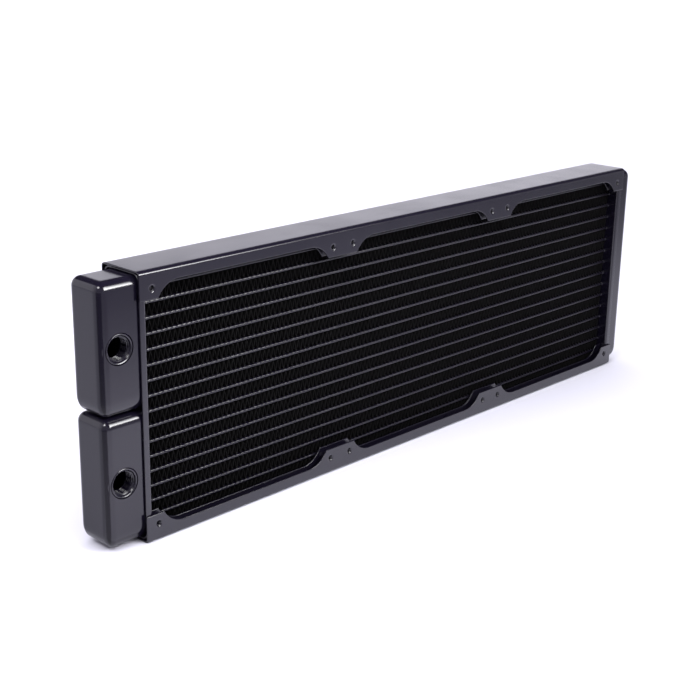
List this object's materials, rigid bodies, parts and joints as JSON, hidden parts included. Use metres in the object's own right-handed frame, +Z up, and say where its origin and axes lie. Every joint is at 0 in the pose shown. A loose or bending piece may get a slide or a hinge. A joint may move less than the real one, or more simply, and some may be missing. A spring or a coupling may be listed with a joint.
{
  "type": "liquid cooling radiator",
  "caption": "Long, slim liquid cooling radiator with a finned flat-tube core, a split port tank at one end, a return tank at the other and folded side channels.",
  "frame": {"origin": "centre of the outline, on the surface that the bottom channel stands on", "axes": "+X along the length from the port tank to the return tank, +Y through the depth away from the ports, +Z up"},
  "size_m": [0.4544, 0.03, 0.143],
  "materials": {
    "channel_paint": "smooth satin black paint over folded sheet",
    "guard_paint": "satin black paint over folded sheet",
    "side_plate_paint": "satin black paint over thin sheet",
    "header_paint": "satin black paint over pressed sheet",
    "tank_paint": "glossy black paint over deep-drawn sheet",
    "bush_brass": "blackened thread in a turned bush",
    "tube_paint": "satin black paint over flat tubes",
    "fin_paint": "matte black paint over folded copper strip"
  },
  "bodies": {
    "root": {"top_channel": "channel_paint", "bottom_channel": "channel_paint", "top_screw_guard": "guard_paint", "bottom_screw_guard": "guard_paint", "top_side_plate": "side_plate_paint", "bottom_side_plate": "side_plate_paint", "port_header_plate": "header_paint", "return_header_plate": "header_paint", "upper_port_tank": "tank_paint", "lower_port_tank": "tank_paint", "return_tank": "tank_paint", "upper_port_bush": "bush_brass", "lower_port_bush": "bush_brass", "tube_01": "tube_paint", "tube_02": "tube_paint", "tube_03": "tube_paint", "tube_04": "tube_paint", "tube_05": "tube_paint", "tube_06": "tube_paint", "tube_07": "tube_paint", "tube_08": "tube_paint", "tube_09": "tube_paint", "tube_10": "tube_paint", "tube_11": "tube_paint", "tube_12": "tube_paint", "tube_13": "tube_paint", "tube_14": "tube_paint", "tube_15": "tube_paint", "tube_16": "tube_paint", "fin_strip_01": "fin_paint", "fin_strip_02": "fin_paint", "fin_strip_03": "fin_paint", "fin_strip_04": "fin_paint", "fin_strip_05": "fin_paint", "fin_strip_06": "fin_paint", "fin_strip_07": "fin_paint", "fin_strip_08": "fin_paint", "fin_strip_09": "fin_paint", "fin_strip_10": "fin_paint", "fin_strip_11": "fin_paint", "fin_strip_12": "fin_paint", "fin_strip_13": "fin_paint", "fin_strip_14": "fin_paint", "fin_strip_15": "fin_paint", "fin_strip_16": "fin_paint", "fin_strip_17": "fin_paint"}
  },
  "joints": []
}
